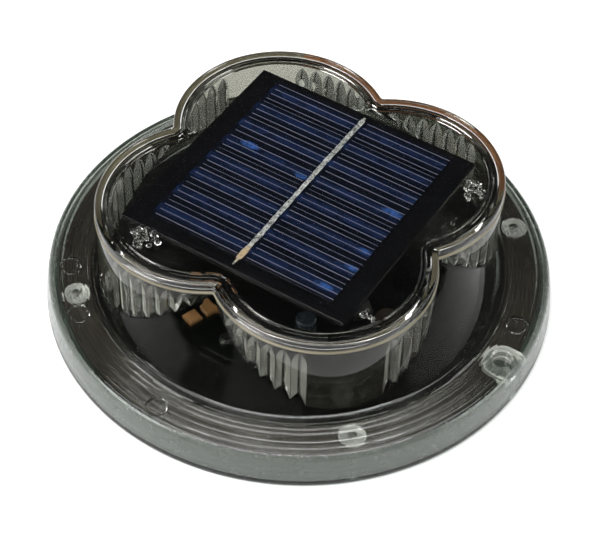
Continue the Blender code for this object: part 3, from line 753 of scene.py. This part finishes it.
def shell_screw(number, mat):
    """A self-tapping screw seen mostly by its threaded tip, with a cross recess in its head."""
    node = f"shell_screw_{number}"
    low, high = box_mm(node)
    middle = (low + high) / 2
    steps, pitch = 28, 0.8
    head = ((2.2, low.z), (2.55, low.z + 0.15), (2.7, low.z + 0.6), (2.7, 2.7), (1.05, 2.72))
    rings = [circle(r, z, steps) for r, z in head]
    z = 2.9
    while z < high.z - 0.05:
        ring = []
        for i in range(steps):
            phase = (z / pitch - i / steps) % 1.0
            ridge = max(0.0, 1 - abs(phase - 0.5) * 3.2)
            taper = min(1.0, max(0.12, (high.z - z) / 1.3))
            r = (0.95 + 0.27 * ridge) * taper
            ring.append((r * math.cos(2 * math.pi * i / steps),
                         r * math.sin(2 * math.pi * i / steps), z))
        rings.append(ring)
        z += 0.1
    rings = [[(x + middle.x, y + middle.y, zz) for x, y, zz in ring] for ring in rings]
    screw = capped_solid(f"{node}_threaded", rings)
    cuts = []
    for turn in (0, 90):
        a = math.radians(turn + 20 * number)
        c, s = math.cos(a), math.sin(a)
        corners = [(1.7, 0.28), (-1.7, 0.28), (-1.7, -0.28), (1.7, -0.28)]
        depths = ((1.0, low.z - 0.5), (1.0, low.z), (0.5, 2.0))
        cut_rings = [[(middle.x + (x * c - y * s) * k, middle.y + (x * s + y * c) * k, zz)
                      for x, y in corners] for k, zz in depths]
        cuts.append(capped_solid("slot", cut_rings))
    combine(screw, cuts, "DIFFERENCE")
    return finish_piece(screw, mat, [node], smooth=40)


# ------------------------------------------------------------ materials

def new_material(name):
    mat = bpy.data.materials.new(name)
    mat.use_nodes = True
    tree = mat.node_tree
    return mat, tree, tree.nodes["Principled BSDF"], tree.nodes["Material Output"]


def coordinates(tree):
    return tree.nodes.new("ShaderNodeTexCoord").outputs["Object"]


def noise_value(tree, scale, detail=3.0, roughness=0.5):
    """A noise field on the object's own coordinates; scale is per metre."""
    node = tree.nodes.new("ShaderNodeTexNoise")
    node.inputs["Scale"].default_value = scale
    node.inputs["Detail"].default_value = detail
    node.inputs["Roughness"].default_value = roughness
    tree.links.new(coordinates(tree), node.inputs["Vector"])
    return node.outputs["Fac"]


def mapped(tree, value, low, high, from_low=0.3, from_high=0.7):
    node = tree.nodes.new("ShaderNodeMapRange")
    node.inputs["From Min"].default_value = from_low
    node.inputs["From Max"].default_value = from_high
    node.inputs["To Min"].default_value = low
    node.inputs["To Max"].default_value = high
    tree.links.new(value, node.inputs["Value"])
    return node.outputs["Result"]


def colour_mix(tree, factor, a, b):
    node = tree.nodes.new("ShaderNodeMix")
    node.data_type = "RGBA"
    tree.links.new(factor, node.inputs["Factor"])
    sockets = [s for s in node.inputs if s.type == "RGBA"]
    for socket, value in zip(sockets, (a, b)):
        if isinstance(value, tuple):
            socket.default_value = (*value, 1.0)
        else:
            tree.links.new(value, socket)
    return [s for s in node.outputs if s.type == "RGBA"][0]


def bump(tree, shader, value, strength, distance_mm):
    node = tree.nodes.new("ShaderNodeBump")
    node.inputs["Strength"].default_value = strength
    node.inputs["Distance"].default_value = distance_mm * MM
    tree.links.new(value, node.inputs["Height"])
    tree.links.new(node.outputs["Normal"], shader.inputs["Normal"])


def see_through(tree, shader, out, share, colour):
    """Swaps the shader for a plain tinted window where share is 1."""
    window = tree.nodes.new("ShaderNodeBsdfTransparent")
    window.inputs["Color"].default_value = colour
    mix = tree.nodes.new("ShaderNodeMixShader")
    tree.links.new(share, mix.inputs["Fac"])
    tree.links.new(shader.outputs["BSDF"], mix.inputs[1])
    tree.links.new(window.outputs["BSDF"], mix.inputs[2])
    tree.links.new(mix.outputs["Shader"], out.inputs["Surface"])


def shadow_rays(tree):
    return tree.nodes.new("ShaderNodeLightPath").outputs["Is Shadow Ray"]


def plastic(name, colour, darker, roughness, grain=900.0, grain_strength=0.15, metallic=0.0,
            spread=0.1):
    """An opaque moulded or painted finish: mottled colour, uneven gloss and a fine grain."""
    mat, tree, shader, _ = new_material(name)
    mottle = mapped(tree, noise_value(tree, 70.0, 5.0, 0.6), 0.0, 1.0)
    tree.links.new(colour_mix(tree, mottle, darker, colour), shader.inputs["Base Color"])
    gloss = noise_value(tree, 240.0, 4.0, 0.65)
    tree.links.new(mapped(tree, gloss, max(0.02, roughness - spread), roughness + spread),
                   shader.inputs["Roughness"])
    shader.inputs["Metallic"].default_value = metallic
    bump(tree, shader, noise_value(tree, grain, 3.0, 0.6), grain_strength, 0.05)
    return mat


def clear_plastic(name, tint, shadow_tint, roughness, wave_strength, clarity=1.0, shine=0.45,
                  ior=1.5):
    """Moulded see-through plastic: a tint and flow waves; lamps shine through it."""
    mat, tree, shader, out = new_material(name)
    flow = mapped(tree, noise_value(tree, 38.0, 3.0, 0.5), 0.0, 1.0)
    deep = tuple(c * 0.9 for c in tint)
    tree.links.new(colour_mix(tree, flow, deep, tint), shader.inputs["Base Color"])
    haze = mapped(tree, noise_value(tree, 260.0, 3.0, 0.5), roughness * 0.7, roughness * 1.35)
    tree.links.new(haze, shader.inputs["Roughness"])
    shader.inputs["Transmission Weight"].default_value = clarity
    shader.inputs["Specular Tint"].default_value = (shine, shine, shine, 1.0)
    shader.inputs["IOR"].default_value = ior
    bump(tree, shader, noise_value(tree, 110.0, 2.0, 0.5), wave_strength, 0.12)
    see_through(tree, shader, out, shadow_rays(tree), (*shadow_tint, 1.0))
    return mat


def vector_step(tree, operation, first, second):
    node = tree.nodes.new("ShaderNodeVectorMath")
    node.operation = operation
    for socket, value in zip(node.inputs, (first, second)):
        if isinstance(value, tuple):
            socket.default_value = value
        elif value is not None:
            tree.links.new(value, socket)
    return node


def number_step(tree, operation, first, second):
    node = tree.nodes.new("ShaderNodeMath")
    node.operation = operation
    for socket, value in zip(node.inputs, (first, second)):
        if isinstance(value, (int, float)):
            socket.default_value = value
        elif value is not None:
            tree.links.new(value, socket)
    return node.outputs["Value"]


def panel_place(tree):
    """The place along the ribbon, and the one across it, in metres."""
    c, s = math.cos(DIAGONAL), math.sin(DIAGONAL)
    along = vector_step(tree, "DOT_PRODUCT", coordinates(tree), (c, s, 0.0)).outputs["Value"]
    across = vector_step(tree, "DOT_PRODUCT", coordinates(tree), (s, -c, 0.0)).outputs["Value"]
    return along, across


def glint_and_flux_patch(tree, along, across, spot):
    """1 at a place on the cell, falling to 0 over a patch stretched along the printed lines; it
    shapes the painted glints and the ribbon's flux stain.
    """
    a, b, half_a, half_b = (v * MM for v in spot)
    da = number_step(tree, "DIVIDE", number_step(tree, "SUBTRACT", along, a), half_a)
    db = number_step(tree, "DIVIDE", number_step(tree, "SUBTRACT", across, b), half_b)
    reach = number_step(tree, "ADD", number_step(tree, "MULTIPLY", da, da),
                        number_step(tree, "MULTIPLY", db, db))
    return mapped(tree, reach, 1.0, 0.0, 0.0, 1.0)


# painted glints (painted reflections) on the cell: place along and across the ribbon, half size
# along and across, strength
PAINTED_BLUE_GLINTS = [(7.9, -24.6, 1.5, 4.0, 0.9), (5.1, -3.5, 1.3, 2.8, 0.6), (7.1, 28.6, 1.5, 4.2, 0.9),
               (-11.5, 29.7, 1.2, 3.2, 0.5), (-19.4, 30.6, 1.3, 3.2, 0.5),
               (-30.2, 27.1, 1.4, 3.8, 0.6)]


def cell_material():
    """Blue-black silicon: bluer within each group of lines, with a few bright blue glints painted
    into its colour (painted reflections).
    """
    mat, tree, shader, _ = new_material("cell_silicon")
    along, across = panel_place(tree)
    phase = number_step(tree, "MULTIPLY", number_step(tree, "SUBTRACT", along, GROUP_MIDDLE * MM),
                        2 * math.pi / (GROUP_PITCH * MM))
    near = mapped(tree, number_step(tree, "COSINE", phase, None), 0.0, 1.0, -0.3, 0.9)
    mottle = mapped(tree, noise_value(tree, 160.0, 4.0, 0.6), 0.35, 1.0)
    tint = number_step(tree, "MULTIPLY", near, mottle)
    base = colour_mix(tree, tint, (0.0014, 0.0020, 0.0045), (0.0036, 0.0078, 0.026))
    # each glint is a painted reflection: a lighter blue mixed into the base colour
    for a, b, half_a, half_b, strength in PAINTED_BLUE_GLINTS:
        field = glint_and_flux_patch(tree, along, across, (a, b, half_a, half_b))
        speckle = mapped(tree, noise_value(tree, 500.0, 3.0, 0.7), 0.0, strength)
        base = colour_mix(tree, number_step(tree, "MULTIPLY", field, speckle), base,
                          (0.035, 0.10, 0.33))
    tree.links.new(base, shader.inputs["Base Color"])
    tree.links.new(mapped(tree, noise_value(tree, 300.0), 0.1, 0.17), shader.inputs["Roughness"])
    bump(tree, shader, noise_value(tree, 700.0), 0.06, 0.03)
    return mat


def ribbon_material():
    """Dull solder with bright and dark crumples; flux has left one end cream."""
    mat, tree, shader, _ = new_material("tinned_solder")
    tone = mapped(tree, noise_value(tree, 900.0, 5.0, 0.8), 0.0, 1.0, 0.42, 0.64)
    silver = colour_mix(tree, tone, (0.055, 0.055, 0.055), (0.55, 0.55, 0.53))
    along, across = panel_place(tree)
    low_end = glint_and_flux_patch(tree, along, across, (-33.0, 0.0, 5.0, 4.0))
    base = colour_mix(tree, low_end, silver, (0.34, 0.25, 0.15))
    tree.links.new(base, shader.inputs["Base Color"])
    shader.inputs["Metallic"].default_value = 0.55
    tree.links.new(mapped(tree, noise_value(tree, 1200.0), 0.25, 0.5), shader.inputs["Roughness"])
    bump(tree, shader, noise_value(tree, 1400.0, 4.0, 0.7), 0.6, 0.06)
    return mat


# ------------------------------------------------------------ build

CLEAR = clear_plastic("clear_flange", (0.74, 0.75, 0.71), (0.74, 0.75, 0.72), 0.03, 0.03,
                      shine=1.0)
MILKY = clear_plastic("milky_skirt", (0.29, 0.32, 0.29), (0.45, 0.48, 0.45), 0.22, 0.012, 0.82,
                      0.8)
SATIN = clear_plastic("satin_rib", (0.52, 0.53, 0.49), (0.6, 0.6, 0.57), 0.15, 0.4, 0.74, 0.8)
# posts and tether block: frosted, and their pale tint is painted light, for posts lit from below
# through the deck's holes
POST_PAINTED_LIGHT = clear_plastic("frosted_post_painted_light", (0.90, 0.91, 0.88), (0.72, 0.73, 0.70), 0.14, 0.7, 0.74, 1.0)
SHOULDER_CLEAR = clear_plastic("clear_shoulder", (0.62, 0.63, 0.58), (0.72, 0.73, 0.70), 0.03,
                               0.1, shine=0.3, ior=1.22)
# inner wall of the same clear moulding: its dark olive tint is painted shade, for the dark
# surroundings seen through it
WALL_PAINTED_SHADE = clear_plastic("wall_painted_shade", (0.20, 0.20, 0.16), (0.5, 0.5, 0.45), 0.04, 0.2, 0.94, 0.4)
OUTER_WALL = clear_plastic("outer_wall", (0.56, 0.56, 0.52), (0.62, 0.62, 0.58), 0.03, 0.1,
                           shine=0.35)
# the lid's rim band, of the same clear lid moulding: its darker grey tint is painted shade
RIM_PAINTED_SHADE = clear_plastic("rim_painted_shade", (0.42, 0.42, 0.40), (0.55, 0.55, 0.53), 0.05, 0.25, shine=0.8,
                    ior=1.38)
CLEAR_LID = clear_plastic("clear_lid", (0.90, 0.91, 0.89), (0.88, 0.89, 0.88), 0.015, 0.08)
CLEAR_BASE = clear_plastic("clear_base", (0.34, 0.375, 0.35), (0.5, 0.54, 0.52), 0.09, 0.02)
GLUE = clear_plastic("set_glue", (0.97, 0.97, 0.96), (0.9, 0.9, 0.88), 0.06, 0.6)
OLIVE = plastic("olive_bead", (0.21, 0.19, 0.135), (0.12, 0.105, 0.065), 0.4, 1500.0, 0.3)
COPPERY = plastic("coppery_bead", (0.30, 0.14, 0.065), (0.16, 0.07, 0.03), 0.4, 1500.0, 0.3)
RUBBER = plastic("black_rubber_finish", (0.045, 0.045, 0.047), (0.028, 0.028, 0.029), 0.6,
                 1800.0, 0.3)
BLACK = plastic("black_moulding", (0.006, 0.0058, 0.0055), (0.0035, 0.0035, 0.0035), 0.14,
                1200.0, 0.03, spread=0.03)
# the deck outside its inner zone: rougher, and a lighter brown that is painted light for the
# brighter flange above it
DECK_RIM_PAINTED_LIGHT = plastic("deck_rim_painted_light", (0.027, 0.023, 0.020), (0.016, 0.014, 0.012), 0.2, 1200.0,
                     0.05, spread=0.05)
PANEL = plastic("panel_epoxy", (0.002, 0.002, 0.0025), (0.0012, 0.0012, 0.0015), 0.09, 500.0,
                0.03, spread=0.02)
CELL = cell_material()
for coated in (PANEL, CELL):
    coated.node_tree.nodes["Principled BSDF"].inputs["Specular IOR Level"].default_value = 0.22
LINES = plastic("grid_silver", (0.062, 0.064, 0.095), (0.038, 0.04, 0.06), 0.4, 2500.0, 0.2,
                0.2, 0.05)
RIBBON = ribbon_material()
DARK_STEEL = plastic("blackened_steel", (0.03, 0.03, 0.03), (0.015, 0.015, 0.015), 0.3, 1400.0,
                     0.2, 0.6)
STEEL = plastic("screw_steel", (0.62, 0.60, 0.57), (0.34, 0.33, 0.31), 0.28, 1400.0, 0.25, 1.0)
BOARD = plastic("board_mask", (0.0035, 0.0042, 0.0038), (0.002, 0.0025, 0.0022), 0.16, 800.0,
                0.04, spread=0.04)
AMBER = plastic("amber_lens", (0.30, 0.16, 0.07), (0.17, 0.08, 0.03), 0.35, 1600.0, 0.3)
CHIP = plastic("chip_resin", (0.02, 0.02, 0.022), (0.012, 0.012, 0.012), 0.5, 2200.0, 0.4)
COPPER = plastic("wound_wire", (0.03, 0.019, 0.013), (0.014, 0.01, 0.007), 0.35, 2600.0, 0.6, 0.3)
CAN = plastic("capacitor_sleeve", (0.022, 0.03, 0.038), (0.012, 0.017, 0.022), 0.25, 800.0, 0.12)
SLEEVE = plastic("battery_film", (0.03, 0.16, 0.11), (0.015, 0.09, 0.06), 0.25, 700.0, 0.15)
NICKEL = plastic("nickel_plate", (0.68, 0.66, 0.61), (0.44, 0.42, 0.39), 0.22, 1300.0, 0.2, 1.0)
RED = plastic("red_insulation", (0.42, 0.02, 0.015), (0.25, 0.01, 0.01), 0.4, 1400.0, 0.2)
BLACK_WIRE = plastic("black_insulation", (0.02, 0.02, 0.02), (0.01, 0.01, 0.01), 0.4, 1400.0, 0.2)

SLOT_MATERIALS = {
    "clear_plastic": CLEAR, "clear_base_plastic": CLEAR_BASE, "olive_seal": OLIVE,
    "black_rubber": RUBBER, "black_plastic": BLACK, "panel_black": PANEL, "cell_blue": CELL,
    "tinned_ribbon": RIBBON, "clear_glue": GLUE, "steel": STEEL, "board_black": BOARD,
    "led_amber": AMBER, "chip_black": CHIP, "copper": COPPER, "capacitor_can": CAN,
    "battery_sleeve": SLEEVE, "nickel": NICKEL, "wire_red": RED, "wire_black": BLACK_WIRE,
}


def dress_cad_nodes():
    """Gives every carried-over CAD node the procedural finish of its material slot."""
    for node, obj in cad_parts.items():
        for slot in obj.material_slots:
            name = slot.material.name.split(".")[0] if slot.material else ""
            if node.startswith("board_screw"):
                slot.material = DARK_STEEL
            elif name in SLOT_MATERIALS:
                slot.material = SLOT_MATERIALS[name]


def build_light():
    # of these finishes the posts' one carries painted light and the inner wall's one painted shade
    top_shell([CLEAR, MILKY, SATIN, POST_PAINTED_LIGHT, SHOULDER_CLEAR, WALL_PAINTED_SHADE, OUTER_WALL])
    dome_lid([CLEAR_LID, RIM_PAINTED_SHADE])
    lid_seal([OLIVE, COPPERY])
    bottom_shell(CLEAR_BASE)
    panel_board(PANEL)
    solar_cell(CELL)
    cell_fingers(LINES)
    ribbon(RIBBON)
    glue_bead("glue_bead_left", GLUE, 3, 26)
    glue_bead("glue_bead_right", GLUE, 5, 22)
    glue_bead("glue_bead_front", GLUE, 8, 6)
    deck_plate([BLACK, DECK_RIM_PAINTED_LIGHT])
    for number in (1, 2, 3, 4):
        shell_screw(number, STEEL)


# ------------------------------------------------------------ stage, light and camera

def floor_material():
    """Matt white paper; from underneath it lets the eye and the light of the lower box through."""
    mat, tree, shader, out = new_material("floor_paper")
    grain = mapped(tree, noise_value(tree, 300.0), 0.0, 1.0)
    tree.links.new(colour_mix(tree, grain, (0.90, 0.90, 0.90), (0.885, 0.885, 0.885)),
                   shader.inputs["Base Color"])
    shader.inputs["Roughness"].default_value = 0.9
    shader.inputs["Specular IOR Level"].default_value = 0.0
    side = tree.nodes.new("ShaderNodeNewGeometry").outputs["Backfacing"]
    share = number_step(tree, "MAXIMUM", side, shadow_rays(tree))
    see_through(tree, shader, out, share, (1.0, 1.0, 1.0, 1.0))
    return mat


def floor():
    size = 6.0
    mesh = bpy.data.meshes.new("studio_floor")
    mesh.from_pydata([(-size, -size, 0), (size, -size, 0), (size, size, 0), (-size, size, 0)],
                     [], [(0, 1, 2, 3)])
    obj = bpy.data.objects.new("studio_floor", mesh)
    bpy.context.scene.collection.objects.link(obj)
    obj.location.z = -0.0002
    obj.data.materials.append(floor_material())


AZIMUTH = -13.84
VIEW = Matrix.Rotation(math.radians(AZIMUTH), 4, "Z")


def area_light(name, azimuth, elevation, distance, size, power, colour=(1, 1, 1), size_y=None):
    """A soft box that faces the light; azimuth 0 is the camera's side, 90 its right."""
    data = bpy.data.lights.new(name, "AREA")
    data.shape = "RECTANGLE"
    data.size = size
    data.size_y = size_y or size
    data.energy = power
    data.color = colour
    obj = bpy.data.objects.new(name, data)
    a, e = math.radians(azimuth), math.radians(elevation)
    place = VIEW @ Vector((math.sin(a) * math.cos(e), -math.cos(a) * math.cos(e), math.sin(e)))
    obj.location = place * distance
    obj.rotation_euler = (-place).to_track_quat("-Z", "Y").to_euler()
    obj.visible_camera = False
    bpy.context.scene.collection.objects.link(obj)


def lights():
    area_light("top_box", 0, 86, 1.6, 1.7, 31.0)
    area_light("left_box", -70, 40, 1.3, 0.7, 15.0)
    area_light("right_box", 80, 30, 1.4, 0.7, 7.0)
    area_light("front_box", -15, 20, 1.6, 1.1, 5.0)
    area_light("strip_box", 0, 82, 1.5, 1.3, 6.0, size_y=0.18)
    area_light("under_box", 0, -90, 1.2, 4.0, 16.0)
    world = bpy.data.worlds.new("studio")
    world.use_nodes = True
    bpy.context.scene.world = world
    background = world.node_tree.nodes["Background"]
    background.inputs["Color"].default_value = (1.0, 1.0, 1.0, 1.0)
    background.inputs["Strength"].default_value = 0.03


ELEVATION = 47.87
ROLL = 1.77
DISTANCE = 614.32
ASIDE = 0.34
ABOVE = 3.65
LENS = 111.6


def camera():
    elevation, roll = math.radians(ELEVATION), math.radians(ROLL)
    forward = Vector((0, math.cos(elevation), -math.sin(elevation)))
    right = Vector((1, 0, 0))
    up = right.cross(forward)
    r2 = right * math.cos(roll) + up * math.sin(roll)
    u2 = up * math.cos(roll) - right * math.sin(roll)
    place = (-forward * DISTANCE + r2 * ASIDE + u2 * ABOVE) * MM
    basis = Matrix((r2, u2, -forward)).transposed().to_4x4()
    data = bpy.data.cameras.new("camera")
    data.sensor_width = 36.0
    data.lens = LENS
    obj = bpy.data.objects.new("camera", data)
    obj.matrix_world = VIEW @ Matrix.Translation(place) @ basis
    bpy.context.scene.collection.objects.link(obj)
    bpy.context.scene.camera = obj


build_light()
dress_cad_nodes()
floor()
lights()
camera()
bpy.context.scene.view_settings.view_transform = "Standard"
bpy.context.scene.cycles.max_bounces = 24
bpy.context.scene.cycles.transmission_bounces = 20
bpy.context.scene.cycles.transparent_max_bounces = 24
